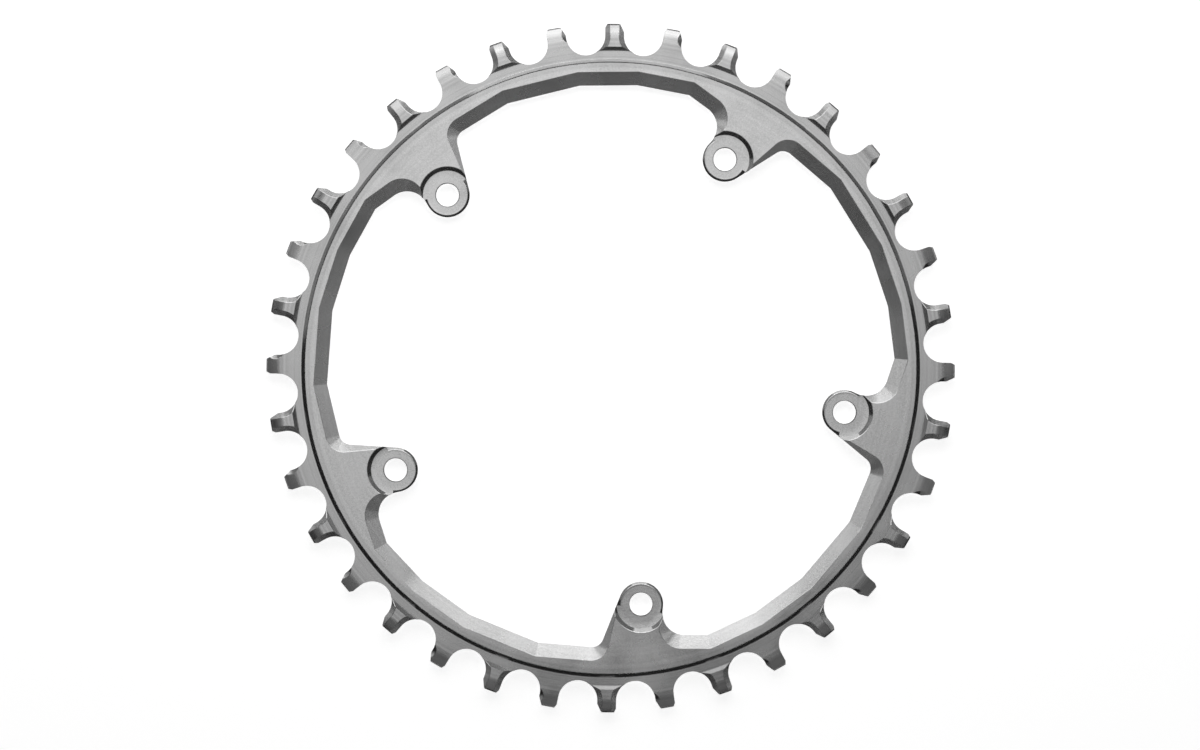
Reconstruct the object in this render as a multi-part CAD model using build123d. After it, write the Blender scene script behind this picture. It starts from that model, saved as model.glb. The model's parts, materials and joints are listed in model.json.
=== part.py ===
from build123d import *
from math import asin, atan, cos, degrees, radians, sin
import os

# A narrow-wide bicycle chainring, milled from one aluminium plate. Lengths are in millimetres.
# It lies flat, with its axis on +Z, its rear face at z = 0 and its front face up.
# A wide tooth stands on +Y. Seen from the front, the leading side of a tooth or a lug is the clockwise one.

# Plate
plate_thickness = 3.6
narrow_tooth_thickness = 2.0

# Chain fit
chain_pitch = 12.7
tooth_pairs = 18
roller_seat_radius = 4.25
tooth_height = 2.45

# Tooth tips seen from the front
lead_bevel_width = 0.9
lead_bevel_height = 1.9
trail_bevel_width = 0.45
trail_bevel_height = 0.85

# Tooth tips seen from the side
tip_break = 0.3
narrow_bevel_length = 2.6
narrow_bevel_drop = 0.45
narrow_bevel_bow = 0.08
wide_bevel_length = 2.1
wide_bevel_drop = 0.65
wide_bevel_bow = 0.12

# Relief between the thick rim and the wide teeth, measured in from the pitch circle
rim_edge_depth = 6.05
rim_slope_width = 0.6
wide_foot_depth = 3.5
wide_foot_width = 0.8
wide_flank_bevel = 1.05

# Guide cut on the leading flank of the narrow teeth
guide_radius = 2.0
guide_sides = 8
guide_slope = 50
guide_offset = 3.15
guide_height = 0.5

# Rim
rim_face_width = 1.8
inner_bevel_width = 2.9
inner_land = 1.7
facet_angles = (12.3, 23.3, 35.0, 50.0)
shoulder_tilt = 7.5
lead_facet_tilt = 11.9

# Lugs
bolt_count = 5
bolt_circle_diameter = 104.0
lug_in_line_with = 5
lug_radius = 4.9
trail_fillet_rear = 4.8
trail_fillet_front = 5.0
trail_lean_rear = 6.0
trail_lean_front = 18.0
least_flank = 0.3
lead_fillet_rear = 2.6
lead_fillet_front = 4.0
lead_lean_rear = 29.0
lead_lean_front = 20.0

# Bolt holes and the recess round each
bolt_hole_diameter = 5.0
seat_radius = 3.95
seat_rise = 0.25
recess_foot_radius = 5.2
recess_radius = 6.2
recess_depth = 1.1

# How far a cutter runs out past the metal
overrun = 2.0

# Sizes that follow from those above
tooth_angle = 180 / tooth_pairs
pitch_radius = chain_pitch / 2 / sin(radians(tooth_angle / 2))
tip_radius = pitch_radius + tooth_height
tip_break_radius = tip_radius - tip_break
tooth_half_width = chain_pitch / 2 - roller_seat_radius
flank_foot = pitch_radius * cos(radians(tooth_angle / 2))
relief_depth = (plate_thickness - narrow_tooth_thickness) / 2
relief_floor = plate_thickness - relief_depth
rim_edge_radius = pitch_radius - rim_edge_depth
wide_foot_radius = pitch_radius - wide_foot_depth
rim_inner_radius = rim_edge_radius - rim_face_width
bolt_circle_radius = bolt_circle_diameter / 2
bolt_hole_radius = bolt_hole_diameter / 2
lug_angle = 360 / bolt_count
first_lug = 90 - 2 * lug_in_line_with * tooth_angle
seat_height = plate_thickness - recess_depth
cutter_top = plate_thickness + overrun

# Outline of the opening on each face: how far its sides move in, then the fillets and leans beside a lug
rear_outline = (inner_bevel_width, trail_fillet_rear, trail_lean_rear, lead_fillet_rear, lead_lean_rear)
front_outline = (0.0, trail_fillet_front, trail_lean_front, lead_fillet_front, lead_lean_front)


def ring_point(angle, outward, clockwise=0.0):
    """Point out along a ray from the axis, then moved clockwise across the ray."""
    ray = Vector(cos(radians(angle)), sin(radians(angle)))
    return ray * outward + Vector(ray.Y, -ray.X) * clockwise


def direction(angle):
    """Unit vector in the plane of the ring."""
    return ring_point(angle, 1)


def turned(edges, arc=360.0):
    """Solid turned about the axis from edges drawn as radius and height, starting on +X."""
    return revolve(Plane.XZ * make_face(edges), Axis.Z, arc)


def both_faces(front_cutter):
    """A cutter for the front face and its mirror image for the rear face."""
    return [front_cutter, mirror(front_cutter, about=Plane.XY.offset(plate_thickness / 2))]


def trailing_flank(angle):
    """Trailing side of the tooth at an angle, from its foot to the tip."""
    return [
        ring_point(angle, flank_foot, -tooth_half_width),
        ring_point(angle, tip_radius - trail_bevel_height, -tooth_half_width),
        ring_point(angle, tip_radius, trail_bevel_width - tooth_half_width),
    ]


def leading_flank(angle):
    """Leading side of the tooth at an angle, from the tip to its foot."""
    return [
        ring_point(angle, tip_radius, tooth_half_width - lead_bevel_width),
        ring_point(angle, tip_radius - lead_bevel_height, tooth_half_width),
        ring_point(angle, flank_foot, tooth_half_width),
    ]


def roller_seat(angle):
    """Arc for a chain roller, from the tooth at an angle to the next one clockwise."""
    root = ring_point(angle - tooth_angle / 2, pitch_radius - roller_seat_radius)
    return ThreePointArc(leading_flank(angle)[-1], root, trailing_flank(angle - tooth_angle)[0])


def toothed_face():
    """Outline of the whole plate, tooth by tooth, clockwise from +Y."""
    edges = []
    for tooth in range(2 * tooth_pairs):
        angle = 90 - tooth * tooth_angle
        edges += [Polyline(*trailing_flank(angle), *leading_flank(angle)), roller_seat(angle)]
    return make_face(edges)


def tooth_gap(angle):
    """Space between the tooth at an angle and the next one clockwise, with straight sides past the tips."""
    next_angle = angle - tooth_angle
    outer = ring_point(angle, tip_radius + overrun, tooth_half_width)
    next_outer = ring_point(next_angle, tip_radius + overrun, -tooth_half_width)
    sides = [
        Line(outer, leading_flank(angle)[-1]),
        roller_seat(angle),
        Polyline(trailing_flank(next_angle)[0], next_outer, outer),
    ]
    return make_face(sides)


def flank_bevel(angle):
    """A tooth gap flaring towards the front, which bevels the flank of a wide tooth."""
    flare = degrees(atan(wide_flank_bevel / relief_depth))
    return extrude(Pos(0, 0, relief_floor) * tooth_gap(angle), relief_depth, taper=-flare)


def rim_relief():
    """Groove between the rim and the wide teeth, with a sloping wall on each side."""
    rim_top = Vector(rim_edge_radius, plate_thickness)
    rim_foot = Vector(rim_edge_radius + rim_slope_width, relief_floor)
    tooth_foot = Vector(wide_foot_radius, relief_floor)
    tooth_top = tooth_foot + Vector(wide_foot_width, relief_depth) * 2
    over_rim = Vector(rim_edge_radius, tooth_top.Y)
    return turned(Polyline(rim_top, rim_foot, tooth_foot, tooth_top, over_rim, close=True))


def tip_cut(angle, inner_radius, height, length, drop, bow):
    """Cut across the tooth at an angle, level from an inner radius and then bowing down to the tip."""
    tip_height = height - drop
    section = Polyline(
        (inner_radius, height),
        (tip_break_radius - length, height),
        (tip_break_radius - length / 2, height - drop / 2 + bow),
        (tip_break_radius, tip_height),
        (tip_break_radius + overrun, tip_height - overrun),
        (tip_break_radius + overrun, cutter_top),
        (inner_radius, cutter_top),
        close=True,
    )
    return Rot(0, 0, angle) * extrude(Plane.XZ * make_face(section), chain_pitch / 2, both=True)


def narrow_tooth_cut(angle):
    """Pocket that thins the narrow tooth at an angle and bevels its tip."""
    inner_radius = wide_foot_radius - wide_foot_width
    bevel = (narrow_bevel_length, narrow_bevel_drop, narrow_bevel_bow)
    return tip_cut(angle, inner_radius, relief_floor, *bevel)


def wide_tooth_cut(angle):
    """Bevel on the tip of the wide tooth at an angle."""
    bevel = (wide_bevel_length, wide_bevel_drop, wide_bevel_bow)
    return tip_cut(angle, wide_foot_radius, plate_thickness, *bevel)


def guide_cut(angle):
    """Cut with sloping sides on the leading flank of the narrow tooth at an angle."""
    centre = ring_point(angle, pitch_radius + guide_height, guide_offset)
    flat_to_tooth = angle + 180 / guide_sides
    outline = RegularPolygon(guide_radius, guide_sides, major_radius=False, rotation=flat_to_tooth)
    return extrude(Pos(centre.X, centre.Y, relief_floor) * outline, -guide_radius / 2, taper=guide_slope)


def tooth_pair():
    """Sector outside the rim with the wide tooth on +Y and the narrow tooth clockwise of it."""
    wide = 90
    narrow = wide - tooth_angle
    outer_radius = tip_radius + overrun
    corners = [(rim_edge_radius, 0), (outer_radius, 0)]
    corners += [(radius, plate_thickness) for radius, _ in reversed(corners)]
    sector = Rot(0, 0, narrow - tooth_angle / 2) * turned(Polyline(*corners, close=True), 2 * tooth_angle)
    pair = extrude(toothed_face(), plate_thickness) & sector
    cutters = [
        rim_relief(),
        flank_bevel(wide),
        flank_bevel(wide + tooth_angle),
        wide_tooth_cut(wide),
        narrow_tooth_cut(narrow),
    ]
    for cutter in cutters:
        pair -= both_faces(cutter)
    return pair - guide_cut(narrow)


def crossing(start, along, other_start, other_along):
    """Point where two lines in the plane of the ring meet."""
    reach = (other_start - start).cross(other_along).Z / along.cross(other_along).Z
    return start + along * reach


def arc_between(start, end, centre, radius):
    """The shorter arc about a centre."""
    middle = centre + (start + end - centre * 2).normalized() * radius
    return ThreePointArc(start, middle, end)


def facet_corners(inset):
    """Corners of the opening between a lug on +Y and the next one clockwise, with every side moved in."""
    corners = [ring_point(90 + angle - lug_angle, rim_inner_radius) for angle in reversed(facet_angles)]
    facets = [(end - start).normalized() for start, end in zip(corners, corners[1:])]
    sides = [direction(-lead_facet_tilt), *facets, direction(-shoulder_tilt - lug_angle)]
    starts = [corners[0], *corners]
    moved = [start + Vector(side.Y, -side.X) * inset for start, side in zip(starts, sides)]
    lines = list(zip(moved, sides))
    return [crossing(*line, *next_line) for line, next_line in zip(lines, lines[1:])]


def lug_outline(inset, trail_fillet, trail_lean, lead_fillet, lead_lean):
    """Edges of the opening from the first facet corner beside a lug on +Y, clockwise to the next lug."""
    lug_centre = Vector(0, bolt_circle_radius)
    next_corners = facet_corners(inset)
    first_corner = next_corners[-1].rotate(Axis.Z, lug_angle)

    # The trailing flank leaves the round end as a tangent and leans in, less so where the rim is near.
    shoulder = direction(-shoulder_tilt)
    shoulder_in = direction(-90 - shoulder_tilt)
    reach = lug_radius + trail_fillet
    rise = (lug_centre - first_corner).dot(shoulder_in) - trail_fillet
    lean = asin(min(sin(radians(trail_lean)), (rise - least_flank) / reach))
    trail_out = shoulder * -cos(lean) - shoulder_in * sin(lean)
    trail_flank = shoulder * sin(lean) - shoulder_in * cos(lean)
    trail_length = (rise - reach * sin(lean)) / cos(lean)
    trail_end = lug_centre + trail_out * lug_radius
    trail_foot = trail_end + trail_flank * trail_length
    trail_centre = trail_foot + trail_out * trail_fillet
    trail_start = trail_centre - shoulder_in * trail_fillet

    # The leading flank leaves the round end as a tangent, and a fillet joins it to the leading facet.
    lead_flank = direction(90 - lead_lean)
    lead_out = direction(-lead_lean)
    facet = direction(-lead_facet_tilt)
    facet_in = direction(-90 - lead_facet_tilt)
    lead_start = lug_centre + lead_out * lug_radius
    beside_flank = lead_start + lead_out * lead_fillet
    beside_facet = next_corners[0] + facet_in * lead_fillet
    lead_centre = crossing(beside_flank, lead_flank, beside_facet, facet)
    lead_foot = lead_centre - lead_out * lead_fillet
    facet_start = lead_centre - facet_in * lead_fillet

    return [
        Line(first_corner, trail_start),
        arc_between(trail_start, trail_foot, trail_centre, trail_fillet),
        Line(trail_foot, trail_end),
        ThreePointArc(trail_end, lug_centre - Vector(0, lug_radius), lead_start),
        Line(lead_start, lead_foot),
        arc_between(lead_foot, facet_start, lead_centre, lead_fillet),
        Polyline(facet_start, *next_corners),
    ]


def opening_face(height, *sizes):
    """The central opening at one height, with all the lugs standing into it."""
    edges = []
    for lug in range(bolt_count):
        turn = Rot(0, 0, first_lug - 90 + lug * lug_angle)
        edges += [turn * edge for edge in lug_outline(*sizes)]
    return Pos(0, 0, height) * make_face(edges)


def opening():
    """Central opening: straight through along the rear outline, then flaring at one slope to the front."""
    through = extrude(opening_face(-overrun, *rear_outline), cutter_top + overrun)
    flare_depth = plate_thickness - inner_land
    flare_slope = degrees(atan(inner_bevel_width / flare_depth))
    flare = extrude(opening_face(plate_thickness, *front_outline), -flare_depth, taper=flare_slope)
    return [through, flare]


def on_lugs(shape):
    """Copies of a shape, each on the bolt axis of one lug."""
    angles = [first_lug + lug * lug_angle for lug in range(bolt_count)]
    return [Rot(0, 0, angle) * Pos(bolt_circle_radius, 0, 0) * shape for angle in angles]


def bolt_seat():
    """Bolt hole, flat seat and sloping recess, turned about the bolt axis."""
    section = Polyline(
        (0, -overrun),
        (bolt_hole_radius, -overrun),
        (bolt_hole_radius, seat_height),
        (seat_radius, seat_height),
        (recess_foot_radius, seat_height + seat_rise),
        (recess_radius, plate_thickness),
        (recess_radius, cutter_top),
        (0, cutter_top),
        close=True,
    )
    return turned(section)


def chainring():
    """The rim and lugs, with the tooth pairs set round them."""
    rim = extrude(Circle(rim_edge_radius), plate_thickness) - opening()
    pair = tooth_pair()
    ring = rim + [Rot(0, 0, -2 * tooth_angle * place) * pair for place in range(tooth_pairs)]
    return ring - on_lugs(bolt_seat())


ring = chainring()
os.makedirs("parts", exist_ok=True)
export_step(ring, "parts/chainring.step")
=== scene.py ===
import json
from math import cos, hypot, radians, sin, tan

import bmesh
import bpy
from mathutils import Matrix, Vector


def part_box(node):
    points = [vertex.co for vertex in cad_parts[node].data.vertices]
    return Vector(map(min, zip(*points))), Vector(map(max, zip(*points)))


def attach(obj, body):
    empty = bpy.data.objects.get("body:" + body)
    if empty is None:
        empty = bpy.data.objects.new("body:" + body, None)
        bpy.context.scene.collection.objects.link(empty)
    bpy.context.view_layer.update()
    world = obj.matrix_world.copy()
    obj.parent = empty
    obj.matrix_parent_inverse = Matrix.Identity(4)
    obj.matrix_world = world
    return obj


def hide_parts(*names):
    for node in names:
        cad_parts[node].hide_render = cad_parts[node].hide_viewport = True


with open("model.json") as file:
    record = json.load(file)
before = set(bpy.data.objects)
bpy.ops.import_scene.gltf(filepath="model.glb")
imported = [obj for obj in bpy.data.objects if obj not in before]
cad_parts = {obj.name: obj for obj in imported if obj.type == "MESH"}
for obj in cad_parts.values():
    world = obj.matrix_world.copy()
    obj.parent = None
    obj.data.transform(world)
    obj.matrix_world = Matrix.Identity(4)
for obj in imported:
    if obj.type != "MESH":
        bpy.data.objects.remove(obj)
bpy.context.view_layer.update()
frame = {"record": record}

# A bicycle chainring, milled from plate, seen from straight above. The ring is drawn in millimetres,
# with its axis on +Z and its rear face at z = 0, and brought to metres at the end.
MM = 0.001

# Sizes that the frame gives
mounts = {mount["name"]: mount["dims"] for mount in frame["record"]["mounts"]}
box_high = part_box("chainring")[1]
plate_thickness = box_high.z / MM
tip_radius = box_high.y / MM
pitch_radius = mounts["chain_teeth"]["pcd_mm"] / 2
tooth_pairs = mounts["chain_teeth"]["count"] // 2
bolt_circle_radius = mounts["spider_bolts"]["pcd_mm"] / 2
bolt_count = mounts["spider_bolts"]["count"]
bolt_hole_radius = mounts["spider_bolts"]["hole_r_mm"]

# Teeth
roller_seat_radius = 4.25
relief_depth = 0.8
lead_bevel = (0.9, 1.9)
trail_bevel = (0.45, 0.85)
tip_break = 0.3
tip_break_drop = 0.275
narrow_tip_length = 3.6
narrow_tip_drop = 0.45
wide_tip_length = 2.9
wide_tip_drop = 0.65
wide_foot_depth = 3.5
wide_foot_width = 0.8
wide_foot_rise = 0.64
wide_flank_bevel = 1.12
guide_radius = 2.0
guide_slope = 38.0
guide_depth = 1.0
guide_offset = 3.15
guide_height = 0.5

# Rim and lugs
rim_edge_depth = 6.05
wall_lean = 0.02
rim_lip_drop = 0.2
rim_break_width = 0.18
rim_break_drop = 0.156
rim_slope_width = 0.52
rim_slope_drop = 0.386
rim_foot_width = 0.12
rim_face_width = 1.8
inner_bevel_width = 2.9
inner_land = 1.7
facet_angles = (12.3, 23.3, 35.0, 50.0)
shoulder_tilt = 7.5
lead_facet_tilt = 11.9
first_lug = -10.0
lug_radius = 4.9
rear_flanks = {"trail_fillet": 4.8, "trail_lean": 6.0, "lead_fillet": 2.6, "lead_lean": 29.0}
front_flanks = {"trail_fillet": 5.0, "trail_lean": 18.0, "lead_fillet": 4.0, "lead_lean": 20.0}
seat_radius = 3.95
seat_rise = 0.1
recess_foot_radius = 5.33
recess_radius = 6.2
recess_depth = 1.1
recess_slope = 39.5

# Edge breaks: widths of the bevels, and the cone that breaks the free end of a lug
edge_break = 0.07
hole_break = 0.2
lug_break = 0.5
lug_break_slope = 39.5
lug_break_shift = 0.1
lug_break_reach = (150.0, 356.0)

# Fineness of the mesh, with angles in degrees
column_angle = 1.0
seat_step = 6.8
steps_past_seat = 1.5
tip_steps = 6
round_steps = 48
trail_fillet_steps = 20
lug_end_steps = 36
lead_fillet_steps = 16
level_angle = 0.05
least_broken_edge = 14.0
sharp_angle = 9.0
face_weight = 100

# Overrun of the cutters, start of a lug's share of the rim before the lug, and play where pieces meet
overrun = 0.3
flare_overlap = 0.1
section_lead = 20.0
joint_reach = 0.001
joint_angle = 0.01
weld = 0.004

# Finish of the metal, with sizes in millimetres. Faces steeper than smooth_slope come off the tool smoother.
mark_spacing = 0.9
mark_depth = 0.004
mark_detail = 3
grain_size = 0.35
grain_detail = 2
cloud_size = 9.0
cloud_detail = 4
noise_spread = (0.3, 0.7)
metal_shades = (0.61, 0.99)
satin_roughness = (0.21, 0.31)
slope_roughness = 0.14
smooth_slope = 36.5
fine_share = 0.45
grain_shares = (0.7, 0.3)
# Painted shade: the base colour over the tooth band is multiplied by this share.
band_painted_shade = 0.87

# Stage, with the view's offset in millimetres and other distances in metres
view_width = 0.2628
view_offset = (-2.33, -1.5)
camera_roll = 0.69
camera_height = 1.4
sensor_width = 36.0
floor_size = 12.0
floor_gap = 0.0001
floor_colour = (0.8, 0.8, 0.8)
floor_glow = 0.75
world_grey = 0.015

# Soft boxes on a dome: bearing and height in degrees, width and height in metres, power in watts
lamp_distance = 0.5
lamps = {
    "ceiling_box": (285, 80, 0.8, 0.8, 0.225),
    "high_box": (110, 80, 0.3, 0.3, 0.15),
    "high_back_box": (95, 68, 0.4, 0.2, 0.045),
    "back_box": (90, 42, 0.22, 0.36, 0.26),
    "back_left_box": (120, 42, 0.22, 0.36, 0.25),
    "back_right_box": (60, 42, 0.22, 0.36, 0.22),
    "left_rear_box": (150, 34, 0.22, 0.2, 0.065),
    "right_rear_box": (30, 34, 0.22, 0.2, 0.04),
    "left_box": (172, 26, 0.44, 0.1, 0.042),
    "front_left_box": (221, 26, 0.44, 0.1, 0.02),
    "front_box": (270, 26, 0.44, 0.1, 0.024),
    "front_right_box": (319, 26, 0.44, 0.1, 0.024),
    "right_box": (8, 26, 0.44, 0.1, 0.048),
    "low_back_box": (95, 15, 0.4, 0.1, 0.09),
    "low_left_box": (145, 15, 0.55, 0.1, 0.034),
    "low_right_box": (45, 15, 0.6, 0.1, 0.022),
}

# Sizes that follow
tooth_angle = 180 / tooth_pairs
half_tooth = tooth_angle / 2
tooth_half_width = pitch_radius * sin(radians(half_tooth)) - roller_seat_radius
relief_floor = plate_thickness - relief_depth
tip_break_radius = tip_radius - tip_break
rim_edge_radius = pitch_radius - rim_edge_depth
wide_foot_radius = pitch_radius - wide_foot_depth
rim_inner_radius = rim_edge_radius - rim_face_width
flare_depth = plate_thickness - inner_land
lug_angle = 360 / bolt_count
seat_height = plate_thickness - recess_depth


def ring_point(angle, outward):
    """Point on a ray from the axis, with the angle in degrees anticlockwise from +X."""
    return Vector((cos(radians(angle)), sin(radians(angle)))) * outward


def direction(angle):
    """Unit vector in the plane of the ring."""
    return ring_point(angle, 1.0)


def arc(centre, radius, start, end, steps):
    """Points along an arc, both ends included."""
    turns = [start + (end - start) * step / steps for step in range(steps + 1)]
    return [centre + ring_point(turn, radius) for turn in turns]


def crossing(start, along, other_start, other_along):
    """Point where two lines in the plane of the ring meet."""
    gap = other_start - start
    reach = gap.cross(other_along) / along.cross(other_along)
    return start + along * reach


def new_object(name, edit):
    """Scene object made from an edit mesh."""
    mesh = bpy.data.meshes.new(name)
    edit.to_mesh(mesh)
    edit.free()
    thing = bpy.data.objects.new(name, mesh)
    bpy.context.scene.collection.objects.link(thing)
    return thing


def stacked(name, loops):
    """Closed solid through outlines of equal length, each a list of points at one height."""
    edit = bmesh.new()
    rings = [[edit.verts.new(point) for point in loop] for loop in loops]
    for lower, upper in zip(rings, rings[1:]):
        for here in range(len(lower)):
            there = (here + 1) % len(lower)
            edit.faces.new((lower[here], lower[there], upper[there], upper[here]))
    edit.faces.new(rings[0])
    edit.faces.new(rings[-1])
    bmesh.ops.triangulate(edit, faces=edit.faces)
    bmesh.ops.recalc_face_normals(edit, faces=edit.faces)
    return new_object(name, edit)


def at_height(outline, height):
    """Outline lifted to a height."""
    return [Vector((point.x, point.y, height)) for point in outline]


def turned_sector(name, section, first_angle, last_angle):
    """Solid turned about the axis from a closed section of (radius, height) points."""
    columns = round((first_angle - last_angle) / column_angle)
    edit = bmesh.new()
    rings = []
    for column in range(columns + 1):
        angle = first_angle - column * column_angle
        points = [(ring_point(angle, radius), height) for radius, height in section]
        rings.append([edit.verts.new((point.x, point.y, height)) for point, height in points])
    for ring, after in zip(rings, rings[1:]):
        for here in range(len(section)):
            there = (here + 1) % len(section)
            edit.faces.new((ring[here], ring[there], after[there], after[here]))
    edit.faces.new(rings[0])
    edit.faces.new(rings[-1])
    bmesh.ops.recalc_face_normals(edit, faces=edit.faces)
    return new_object(name, edit)


def turned_about(name, section, centre):
    """Closed solid turned about an upright line through a point, from (radius, height) points along it."""
    loops = []
    for radius, height in section:
        circle = arc(centre, radius, 0, 360, round_steps)[:-1]
        loops.append(at_height(circle, height))
    return stacked(name, loops)


def cut(blank, cutters):
    """Blank less its cutters, as an edit mesh with doubles merged."""
    for cutter in cutters:
        boolean = blank.modifiers.new(cutter.name, "BOOLEAN")
        boolean.operation = "DIFFERENCE"
        boolean.solver = "EXACT"
        boolean.object = cutter
    graph = bpy.context.evaluated_depsgraph_get()
    result = bpy.data.meshes.new_from_object(blank.evaluated_get(graph))
    edit = bmesh.new()
    edit.from_mesh(result)
    bpy.data.meshes.remove(result)
    for used in [blank, *cutters]:
        bpy.data.objects.remove(used)
    bmesh.ops.remove_doubles(edit, verts=edit.verts, dist=weld)
    return edit


def drop_joints(edit, is_joint):
    """Deletes the faces where a piece meets its neighbours, and joins faces that lie level."""
    joints = [face for face in edit.faces if is_joint(face.calc_center_median())]
    bmesh.ops.delete(edit, geom=joints, context="FACES")
    bmesh.ops.dissolve_limit(
        edit,
        angle_limit=radians(level_angle),
        use_dissolve_boundaries=False,
        verts=edit.verts,
        edges=edit.edges,
    )


def weigh_edges(edit, width_of):
    """Stores the bevel of each edge that stands out, as a share of the widest."""
    weights = edit.edges.layers.float.new("bevel_weight_edge")
    for edge in edit.edges:
        middle = (edge.verts[0].co + edge.verts[1].co) / 2
        if edge.is_boundary:
            on_rim_edge = abs(hypot(middle.x, middle.y) - rim_edge_radius) < wall_lean
            edge[weights] = edge_break / hole_break if on_rim_edge else 0.0
        elif edge.is_manifold and edge.is_convex and edge.calc_face_angle() > radians(least_broken_edge):
            edge[weights] = width_of(middle) / hole_break


def gap_side(side, spread):
    """Outline of the gap beside a tooth on +Y, on its clockwise side for 1 and on the other for -1.

    The gap is widened by the spread, and runs straight past the tip and past the middle of the gap."""
    past_tip = tip_radius + 2 * overrun
    seat_centre = ring_point(90 - half_tooth, pitch_radius)
    steps = round((90 - half_tooth) / seat_step + steps_past_seat)
    seat = arc(seat_centre, roller_seat_radius + spread, 180, 180 + steps * seat_step, steps)
    far = seat_centre.x + roller_seat_radius
    outline = [Vector((seat[0].x, past_tip)), *seat, Vector((far, seat[-1].y)), Vector((far, past_tip))]
    return [Vector((side * point.x, point.y)) for point in outline]


def corner_cut(side, bevel):
    """Outline of the cut on the outer corner of a tooth on +Y, given as its width and height."""
    width, height = bevel
    past_tip = tip_radius + 2 * overrun
    slope = Vector((-width, height)) / height
    corner = Vector((tooth_half_width, tip_radius - height))
    low, high = corner - slope * overrun, corner + slope * (past_tip - corner.y)
    far = 2 * tooth_half_width
    outline = [low, high, Vector((far, past_tip)), Vector((far, low.y))]
    return [Vector((side * point.x, point.y)) for point in outline]


def flank_cutters(flared):
    """Cutters for both sides of a tooth on +Y, flaring above and below where the tooth is a wide one."""
    top = plate_thickness + overrun
    spread = wide_flank_bevel * (top - relief_floor) / relief_depth if flared else 0.0
    levels = [(-overrun, spread), (relief_depth, 0.0), (relief_floor, 0.0), (top, spread)]
    cutters = []
    for side, bevel in ((1, lead_bevel), (-1, trail_bevel)):
        gap = [at_height(gap_side(side, widened), height) for height, widened in levels]
        corner = [at_height(corner_cut(side, bevel), height) for height in (-overrun, top)]
        cutters += [stacked(f"gap_{side}", gap), stacked(f"corner_{side}", corner)]
    return cutters


def mirrored(front):
    """Closed section from the points of its front half, running outwards."""
    rear = [(radius, plate_thickness - height) for radius, height in reversed(front)]
    return front + rear


def rim_step():
    """Edge of the thick rim, down to the relief: a steep lip, two slopes and a foot in two steps."""
    lip_foot = rim_edge_radius + wall_lean
    lip_end = plate_thickness - rim_lip_drop
    break_foot = lip_foot + rim_break_width
    break_end = lip_end - rim_break_drop
    slope_foot = break_foot + rim_slope_width
    slope_end = break_end - rim_slope_drop
    return [
        (rim_edge_radius, plate_thickness),
        (lip_foot, lip_end),
        (break_foot, break_end),
        (slope_foot, slope_end),
        (slope_foot + rim_foot_width / 2, relief_floor + (slope_end - relief_floor) / 4),
        (slope_foot + rim_foot_width, relief_floor),
    ]


def wide_section():
    """Front half of the section through a wide tooth."""
    return [
        *rim_step(),
        (wide_foot_radius, relief_floor),
        (wide_foot_radius + wide_foot_width, relief_floor + wide_foot_rise),
        (wide_foot_radius + wide_foot_width + wall_lean, plate_thickness),
        (tip_radius, plate_thickness),
    ]


def narrow_section():
    """Front half of the section through a narrow tooth."""
    return [*rim_step(), (tip_radius, relief_floor)]


def guide_cutter():
    """Conical cut on the leading flank of a narrow tooth."""
    centre = Vector((guide_offset, pitch_radius + guide_height))
    run = 1 / tan(radians(guide_slope))
    section = [
        (guide_radius - guide_depth * run, relief_floor - guide_depth),
        (guide_radius + overrun * run, relief_floor + overrun),
    ]
    return turned_about("guide", section, centre)


def thin_tip(edit, half_thickness, length, drop):
    """Thins a tooth on +Y towards its tip, ever faster, and breaks the edge of the tip on both faces."""
    middle = plate_thickness / 2
    start = tip_break_radius - length
    for step in range(tip_steps + 1):
        level = start + length * step / tip_steps
        everything = [*edit.verts, *edit.edges, *edit.faces]
        bmesh.ops.bisect_plane(
            edit,
            geom=everything,
            dist=weld / 4,
            plane_co=(0, level, 0),
            plane_no=(0, 1, 0),
        )
    for vert in edit.verts:
        share = min(max((vert.co.y - start) / length, 0), 1)
        past_break = max(vert.co.y - tip_break_radius, 0)
        lost = drop * share**2 + tip_break_drop * past_break / tip_break
        vert.co.z = middle + (vert.co.z - middle) * (1 - lost / half_thickness)


def tooth(name, section, cutters, *tip):
    """One tooth on +Y with its share of the relief and the rim's edge, open where it joins the rest."""
    blank = turned_sector(name, mirrored(section), 90 + half_tooth, 90 - half_tooth)
    edit = cut(blank, cutters)
    thin_tip(edit, section[-1][1] - plate_thickness / 2, *tip)
    side_slope = tan(radians(half_tooth - joint_angle))

    def is_joint(centre):
        at_rim = hypot(centre.x, centre.y) < rim_edge_radius + joint_reach
        return at_rim or abs(centre.x) > centre.y * side_slope

    drop_joints(edit, is_joint)
    weigh_edges(edit, lambda middle: edge_break)
    return new_object(name, edit)


def facet_corners(inset):
    """Corners of the opening between a lug on +Y and the next one clockwise, with every side moved in."""
    corners = [ring_point(90 + angle - lug_angle, rim_inner_radius) for angle in reversed(facet_angles)]
    facets = [(end - start).normalized() for start, end in zip(corners, corners[1:])]
    sides = [direction(-lead_facet_tilt), *facets, direction(-shoulder_tilt - lug_angle)]
    starts = [corners[0], *corners]
    moved = [start + Vector((side.y, -side.x)) * inset for start, side in zip(starts, sides)]
    lines = list(zip(moved, sides))
    return [crossing(*line, *next_line) for line, next_line in zip(lines, lines[1:])]


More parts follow.
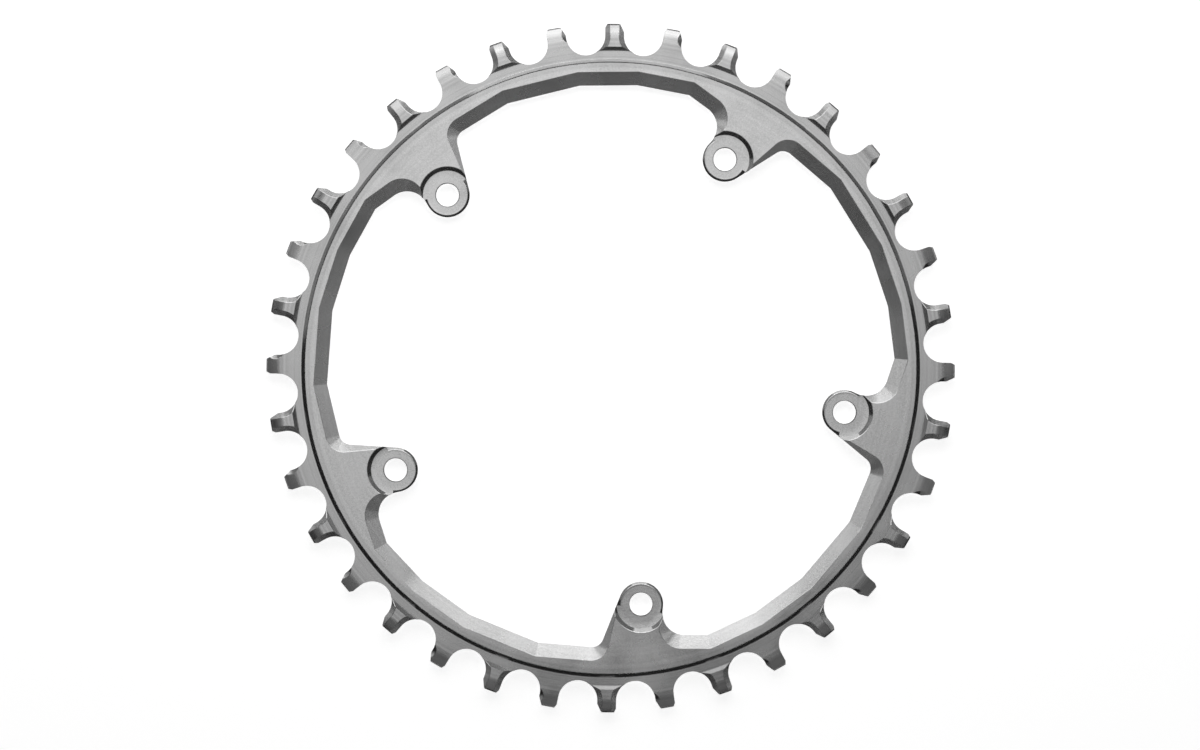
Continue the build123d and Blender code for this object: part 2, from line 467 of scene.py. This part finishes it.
def lug_outline(inset, lug_radius, trail_fillet, trail_lean, lead_fillet, lead_lean):
    """Outline of the opening past a lug on +Y, clockwise from the facet before it to those after it."""
    lug_centre = Vector((0, bolt_circle_radius))
    next_corners = facet_corners(inset)
    to_this_lug = Matrix.Rotation(radians(lug_angle), 2)
    first_corners = [to_this_lug @ corner for corner in next_corners[-2:]]

    # The trailing flank leaves the round end as a tangent, and a fillet joins it to the shoulder.
    lean = radians(trail_lean)
    trail_side = 180 - shoulder_tilt - trail_lean
    trail_out = direction(trail_side)
    rise = (lug_centre - first_corners[-1]).dot(direction(-90 - shoulder_tilt)) - trail_fillet
    flank_length = (rise - (lug_radius + trail_fillet) * sin(lean)) / cos(lean)
    trail_end = lug_centre + trail_out * lug_radius
    trail_centre = trail_end + direction(trail_side - 90) * flank_length + trail_out * trail_fillet

    # The leading flank leaves the round end as a tangent, and a fillet joins it to the leading facet.
    beside_flank = lug_centre + direction(-lead_lean) * (lug_radius + lead_fillet)
    beside_facet = next_corners[0] + direction(-90 - lead_facet_tilt) * lead_fillet
    along_flank, along_facet = direction(90 - lead_lean), direction(-lead_facet_tilt)
    lead_centre = crossing(beside_flank, along_flank, beside_facet, along_facet)

    return [
        *first_corners,
        *arc(trail_centre, trail_fillet, 90 - shoulder_tilt, trail_side - 180, trail_fillet_steps),
        *arc(lug_centre, lug_radius, trail_side, 360 - lead_lean, lug_end_steps),
        *arc(lead_centre, lead_fillet, 180 - lead_lean, 90 - lead_facet_tilt, lead_fillet_steps),
        *next_corners,
    ]


def opening_cutters():
    """The opening beside one lug: straight through along its rear outline, and flaring to the front."""
    inner_radius = bolt_circle_radius / 2
    first_angle = 90 + facet_angles[1]
    last_angle = 90 + facet_angles[0] - lug_angle
    inner = [ring_point(last_angle, inner_radius), ring_point(first_angle, inner_radius)]
    rear = lug_outline(inner_bevel_width, lug_radius, **rear_flanks) + inner
    through = [at_height(rear, height) for height in (-overrun, plate_thickness + overrun)]

    # The flare keeps one slope all round, so each of its outlines lies evenly inside the one above it.
    flare = []
    for height in (inner_land - flare_overlap, plate_thickness + overrun):
        inset = inner_bevel_width * (plate_thickness - height) / flare_depth
        flanks = dict(front_flanks)
        flanks["trail_fillet"] -= inset
        flanks["lead_fillet"] -= inset
        flare.append(at_height(lug_outline(inset, lug_radius + inset, **flanks) + inner, height))
    return [stacked("through", through), stacked("flare", flare)]


def lug_edge_cutter():
    """Edge break round the free end of a lug on +Y, part of a cone set off the bolt axis."""
    centre = Vector((0, bolt_circle_radius + lug_break_shift))
    inner_radius = lug_radius - lug_break
    seat_slope = seat_rise / (recess_foot_radius - seat_radius)
    edge_height = seat_height + seat_slope * (inner_radius - seat_radius)
    run = 1 / tan(radians(lug_break_slope))
    start, end = lug_break_reach
    loops = []
    for height in (edge_height - 2 * overrun, edge_height + overrun):
        radius = inner_radius + lug_break_shift + (edge_height - height) * run
        inside = arc(centre, radius, start, end, round_steps)
        outside = arc(centre, 2 * lug_radius, end, start, round_steps)
        loops.append(at_height(inside + outside, height))
    return stacked("lug_edge", loops)


def seat_cutter():
    """Bolt hole, flat seat with a faint cone round it, and sloping recess of a lug on +Y."""
    run = 1 / tan(radians(recess_slope))
    wall_radius = recess_foot_radius + wall_lean
    section = [
        (bolt_hole_radius, -overrun),
        (bolt_hole_radius, seat_height),
        (seat_radius, seat_height),
        (recess_foot_radius, seat_height + seat_rise),
        (wall_radius, plate_thickness - (recess_radius - wall_radius) / run),
        (recess_radius + overrun * run, plate_thickness + overrun),
    ]
    return turned_about("seat", section, Vector((0, bolt_circle_radius)))


def lug_section():
    """One lug on +Y with its fifth of the rim, open where it joins the rest."""
    first_angle = 90 + section_lead
    last_angle = first_angle - lug_angle
    inner_radius = bolt_circle_radius - 2 * lug_radius
    corners = [
        (inner_radius, 0),
        (rim_edge_radius, 0),
        (rim_edge_radius, plate_thickness),
        (inner_radius, plate_thickness),
    ]
    blank = turned_sector("lug_section", corners, first_angle, last_angle)
    edit = cut(blank, [*opening_cutters(), seat_cutter(), lug_edge_cutter()])
    sides = [direction(first_angle + 90), direction(last_angle - 90)]

    def is_joint(centre):
        flat = centre.to_2d()
        at_rim = flat.length > rim_edge_radius * cos(radians(column_angle / 2)) - joint_reach
        return at_rim or any(flat.dot(side) > -joint_reach for side in sides)

    def width_of(middle):
        from_bolt = (middle.to_2d() - Vector((0, bolt_circle_radius))).length
        return hole_break if abs(from_bolt - bolt_hole_radius) < edge_break else edge_break

    drop_joints(edit, is_joint)
    weigh_edges(edit, width_of)
    return new_object("lug_section", edit)


def add_input(tree, name, kind):
    """Named input of a tree, by the identifier that its modifier knows it by."""
    return tree.interface.new_socket(name=name, in_out="INPUT", socket_type=kind).identifier


def set_round(tree, inputs, piece, count, first_angle):
    """Nodes that set copies of a piece round the axis, an even turn apart from a first angle."""
    nodes, link = tree.nodes, tree.links.new
    source = nodes.new("GeometryNodeObjectInfo")
    link(inputs.outputs[piece], source.inputs["Object"])
    points = nodes.new("GeometryNodePoints")
    link(inputs.outputs[count], points.inputs["Count"])
    step = nodes.new("ShaderNodeMath")
    step.operation = "DIVIDE"
    step.inputs[0].default_value = radians(360)
    link(inputs.outputs[count], step.inputs[1])
    turn = nodes.new("ShaderNodeMath")
    turn.operation = "MULTIPLY_ADD"
    link(nodes.new("GeometryNodeInputIndex").outputs["Index"], turn.inputs[0])
    link(step.outputs["Value"], turn.inputs[1])
    link(inputs.outputs[first_angle], turn.inputs[2])
    axis = nodes.new("ShaderNodeCombineXYZ")
    link(turn.outputs["Value"], axis.inputs["Z"])
    copies = nodes.new("GeometryNodeInstanceOnPoints")
    link(points.outputs["Points"], copies.inputs["Points"])
    link(source.outputs["Geometry"], copies.inputs["Instance"])
    link(axis.outputs["Vector"], copies.inputs["Rotation"])
    return copies.outputs["Instances"]


def ring_tree():
    """Tree that sets the teeth and the lugs round the axis and welds them into one ring."""
    tree = bpy.data.node_groups.new("ring_of_teeth_and_lugs", "GeometryNodeTree")
    tree.is_modifier = True
    sockets = {
        "Wide tooth": "NodeSocketObject",
        "Narrow tooth": "NodeSocketObject",
        "Lug": "NodeSocketObject",
        "Tooth pairs": "NodeSocketInt",
        "Lugs": "NodeSocketInt",
        "First wide tooth": "NodeSocketFloat",
        "First narrow tooth": "NodeSocketFloat",
        "First lug": "NodeSocketFloat",
        "Weld": "NodeSocketFloat",
        "Metal": "NodeSocketMaterial",
    }
    names = {name: add_input(tree, name, kind) for name, kind in sockets.items()}
    tree.interface.new_socket(name="Ring", in_out="OUTPUT", socket_type="NodeSocketGeometry")
    nodes, link = tree.nodes, tree.links.new
    inputs = nodes.new("NodeGroupInput")
    joined = nodes.new("GeometryNodeJoinGeometry")
    link(set_round(tree, inputs, "Wide tooth", "Tooth pairs", "First wide tooth"), joined.inputs[0])
    link(set_round(tree, inputs, "Narrow tooth", "Tooth pairs", "First narrow tooth"), joined.inputs[0])
    link(set_round(tree, inputs, "Lug", "Lugs", "First lug"), joined.inputs[0])
    realized = nodes.new("GeometryNodeRealizeInstances")
    link(joined.outputs["Geometry"], realized.inputs["Geometry"])
    welded = nodes.new("GeometryNodeMergeByDistance")
    link(realized.outputs["Geometry"], welded.inputs["Geometry"])
    link(inputs.outputs["Weld"], welded.inputs["Distance"])
    finished = nodes.new("GeometryNodeSetMaterial")
    link(welded.outputs["Geometry"], finished.inputs["Geometry"])
    link(inputs.outputs["Metal"], finished.inputs["Material"])
    output = nodes.new("NodeGroupOutput")
    link(finished.outputs["Geometry"], output.inputs["Ring"])
    return tree, names


def plain_mesh(thing):
    """Turns an object's modifiers into its mesh."""
    graph = bpy.context.evaluated_depsgraph_get()
    mesh = bpy.data.meshes.new_from_object(thing.evaluated_get(graph))
    thing.modifiers.clear()
    thing.data = mesh


def milled_ring(metal):
    """The whole ring as one plain mesh, with its edges broken."""
    wide_cutters = flank_cutters(flared=True)
    narrow_cutters = [*flank_cutters(flared=False), guide_cutter()]
    wide_tip = (wide_tip_length, wide_tip_drop)
    narrow_tip = (narrow_tip_length, narrow_tip_drop)
    pieces = {
        "Wide tooth": tooth("wide_tooth", wide_section(), wide_cutters, *wide_tip),
        "Narrow tooth": tooth("narrow_tooth", narrow_section(), narrow_cutters, *narrow_tip),
        "Lug": lug_section(),
    }
    tree, names = ring_tree()
    values = {
        **pieces,
        "Tooth pairs": tooth_pairs,
        "Lugs": bolt_count,
        "First wide tooth": 0.0,
        "First narrow tooth": radians(-tooth_angle),
        "First lug": radians(first_lug - 90),
        "Weld": weld,
        "Metal": metal,
    }
    ring = bpy.data.objects.new("milled_ring", bpy.data.meshes.new("milled_ring"))
    bpy.context.scene.collection.objects.link(ring)
    pattern = ring.modifiers.new("pattern", "NODES")
    pattern.node_group = tree
    for name, value in values.items():
        pattern[names[name]] = value
    bevel = ring.modifiers.new("edge_break", "BEVEL")
    bevel.limit_method = "WEIGHT"
    bevel.width = hole_break
    bevel.segments = 1
    bevel.use_clamp_overlap = False
    plain_mesh(ring)
    for piece in pieces.values():
        bpy.data.objects.remove(piece)
    ring.data.transform(Matrix.Scale(MM, 4))
    ring.data.shade_smooth()
    ring.data.set_sharp_from_angle(angle=radians(sharp_angle))
    normals = ring.modifiers.new("even_normals", "WEIGHTED_NORMAL")
    normals.keep_sharp = True
    normals.weight = face_weight
    plain_mesh(ring)
    slopes = ring.data.attributes.new("cut_slope", "FLOAT", "FACE")
    for face, slope in zip(ring.data.polygons, slopes.data):
        slope.value = float(abs(face.normal.z) < cos(radians(smooth_slope)))
    return ring


def noise(tree, place, size, detail):
    """Noise in three directions, with features of a size in millimetres."""
    made = tree.nodes.new("ShaderNodeTexNoise")
    made.inputs["Scale"].default_value = 1 / (size * MM)
    made.inputs["Detail"].default_value = detail
    tree.links.new(place, made.inputs["Vector"])
    return made.outputs["Fac"]


def mixed(tree, first, second, share):
    """Two values blended, with a share of the second, which is a number or another value."""
    blend = tree.nodes.new("ShaderNodeMix")
    if isinstance(share, float):
        blend.inputs["Factor"].default_value = share
    else:
        tree.links.new(share, blend.inputs["Factor"])
    tree.links.new(first, blend.inputs["A"])
    tree.links.new(second, blend.inputs["B"])
    return blend.outputs["Result"]


def ranged(tree, value, source, target):
    """A value carried from one range to another."""
    spread = tree.nodes.new("ShaderNodeMapRange")
    spread.inputs["From Min"].default_value, spread.inputs["From Max"].default_value = source
    spread.inputs["To Min"].default_value, spread.inputs["To Max"].default_value = target
    tree.links.new(value, spread.inputs["Value"])
    return spread.outputs["Result"]


def machined_aluminium():
    """Bare milled aluminium: satin faces, smoother steep cuts, turning marks and faint clouding."""
    material = bpy.data.materials.new("machined_aluminium")
    material.use_nodes = True
    tree = material.node_tree
    nodes, link = tree.nodes, tree.links.new
    shader = nodes["Principled BSDF"]
    shader.inputs["Metallic"].default_value = 1.0
    place = nodes.new("ShaderNodeTexCoord").outputs["Object"]

    # Turning marks: rings that depend only on the distance from the axis
    flat = nodes.new("ShaderNodeVectorMath")
    flat.operation = "MULTIPLY"
    flat.inputs[1].default_value = (1, 1, 0)
    link(place, flat.inputs[0])
    radius = nodes.new("ShaderNodeVectorMath")
    radius.operation = "LENGTH"
    link(flat.outputs["Vector"], radius.inputs[0])
    marks = nodes.new("ShaderNodeTexNoise")
    marks.noise_dimensions = "1D"
    marks.inputs["Scale"].default_value = 1 / (mark_spacing * MM)
    marks.inputs["Detail"].default_value = mark_detail
    link(radius.outputs["Value"], marks.inputs["W"])

    # Grain of the tumbled surface, and clouds of brighter and duller metal
    grain = noise(tree, place, grain_size, grain_detail)
    clouds = noise(tree, place, cloud_size, cloud_detail)

    # Towards the teeth the turning marks stand out more than the grain, and the base colour is darkened
    # there as painted shade.
    rim_reach = (rim_inner_radius * MM, (rim_edge_radius + rim_slope_width) * MM)
    grain_share = ranged(tree, radius.outputs["Value"], rim_reach, grain_shares)
    painted_band_shade = ranged(tree, radius.outputs["Value"], rim_reach, (1.0, band_painted_shade))
    height = mixed(tree, marks.outputs["Fac"], grain, grain_share)
    bump = nodes.new("ShaderNodeBump")
    bump.inputs["Strength"].default_value = 1.0
    bump.inputs["Distance"].default_value = mark_depth * MM
    link(height, bump.inputs["Height"])
    link(bump.outputs["Normal"], shader.inputs["Normal"])

    tone = mixed(tree, clouds, height, fine_share)
    # The base colour is darkened over the tooth band as painted shade.
    colour = nodes.new("ShaderNodeMath")
    colour.operation = "MULTIPLY"
    link(ranged(tree, tone, noise_spread, metal_shades), colour.inputs[0])
    link(painted_band_shade, colour.inputs[1])
    link(colour.outputs["Value"], shader.inputs["Base Color"])

    # Flat faces stay satin, and steep cuts are smoother.
    satin = ranged(tree, clouds, noise_spread, satin_roughness)
    slopes = nodes.new("ShaderNodeAttribute")
    slopes.attribute_name = "cut_slope"
    finish = nodes.new("ShaderNodeMix")
    link(slopes.outputs["Fac"], finish.inputs["Factor"])
    link(satin, finish.inputs["A"])
    finish.inputs["B"].default_value = slope_roughness
    link(finish.outputs["Result"], shader.inputs["Roughness"])
    return material


def pale_floor():
    """White floor, lit in part by the lamps so that it takes the ring's shadow."""
    material = bpy.data.materials.new("pale_floor")
    material.use_nodes = True
    tree = material.node_tree
    tree.nodes.clear()
    link = tree.links.new

    # The glow shows to the camera and in mirrored light, and lights nothing else.
    rays = tree.nodes.new("ShaderNodeLightPath")
    seen = tree.nodes.new("ShaderNodeMath")
    seen.operation = "MAXIMUM"
    link(rays.outputs["Is Camera Ray"], seen.inputs[0])
    link(rays.outputs["Is Glossy Ray"], seen.inputs[1])
    seen_through = tree.nodes.new("ShaderNodeMath")
    seen_through.operation = "MAXIMUM"
    link(seen.outputs["Value"], seen_through.inputs[0])
    link(rays.outputs["Is Transmission Ray"], seen_through.inputs[1])
    strength = tree.nodes.new("ShaderNodeMath")
    strength.operation = "MULTIPLY"
    strength.inputs[1].default_value = floor_glow
    link(seen_through.outputs["Value"], strength.inputs[0])
    glow = tree.nodes.new("ShaderNodeEmission")
    link(strength.outputs["Value"], glow.inputs["Strength"])
    lit = tree.nodes.new("ShaderNodeBsdfDiffuse")
    lit.inputs["Color"].default_value = (*floor_colour, 1)
    both = tree.nodes.new("ShaderNodeAddShader")
    link(glow.outputs["Emission"], both.inputs[0])
    link(lit.outputs["BSDF"], both.inputs[1])
    output = tree.nodes.new("ShaderNodeOutputMaterial")
    link(both.outputs["Shader"], output.inputs["Surface"])
    return material


def floor():
    """Large level floor just under the ring."""
    edit = bmesh.new()
    bmesh.ops.create_grid(edit, x_segments=1, y_segments=1, size=floor_size / 2)
    bmesh.ops.translate(edit, verts=edit.verts, vec=(0, 0, -floor_gap))
    ground = new_object("floor", edit)
    ground.data.materials.append(pale_floor())


def softbox(name, bearing, height, width, tall, watts):
    """Soft box on a dome round the ring, facing its middle."""
    lamp = bpy.data.lights.new(name, "AREA")
    lamp.shape = "RECTANGLE"
    lamp.size = width
    lamp.size_y = tall
    lamp.energy = watts
    holder = bpy.data.objects.new(name, lamp)
    flat = ring_point(bearing, lamp_distance * cos(radians(height)))
    holder.location = (flat.x, flat.y, lamp_distance * sin(radians(height)))
    holder.rotation_euler = (-holder.location).to_track_quat("-Z", "Y").to_euler()
    bpy.context.scene.collection.objects.link(holder)


def camera():
    """Camera straight above, with the ring a little off the middle and rolled as in the photograph."""
    lens = bpy.data.cameras.new("camera")
    lens.sensor_width = sensor_width
    lens.lens = sensor_width * camera_height / view_width
    holder = bpy.data.objects.new("camera", lens)
    aim = Matrix.Rotation(radians(camera_roll), 2) @ Vector(view_offset)
    holder.location = (aim.x * MM, aim.y * MM, camera_height)
    holder.rotation_euler = (0, 0, radians(camera_roll))
    bpy.context.scene.collection.objects.link(holder)
    bpy.context.scene.camera = holder


def dark_room():
    """Nearly dark room round the lamps, so that steep cuts stay dark."""
    world = bpy.data.worlds.new("studio")
    world.use_nodes = True
    background = world.node_tree.nodes["Background"]
    background.inputs["Color"].default_value = (world_grey, world_grey, world_grey, 1)
    bpy.context.scene.world = world


ring = milled_ring(machined_aluminium())
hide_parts("chainring")
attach(ring, "root")

floor()
for name, values in lamps.items():
    softbox(name, *values)
dark_room()
camera()
bpy.context.scene.view_settings.view_transform = "Standard"
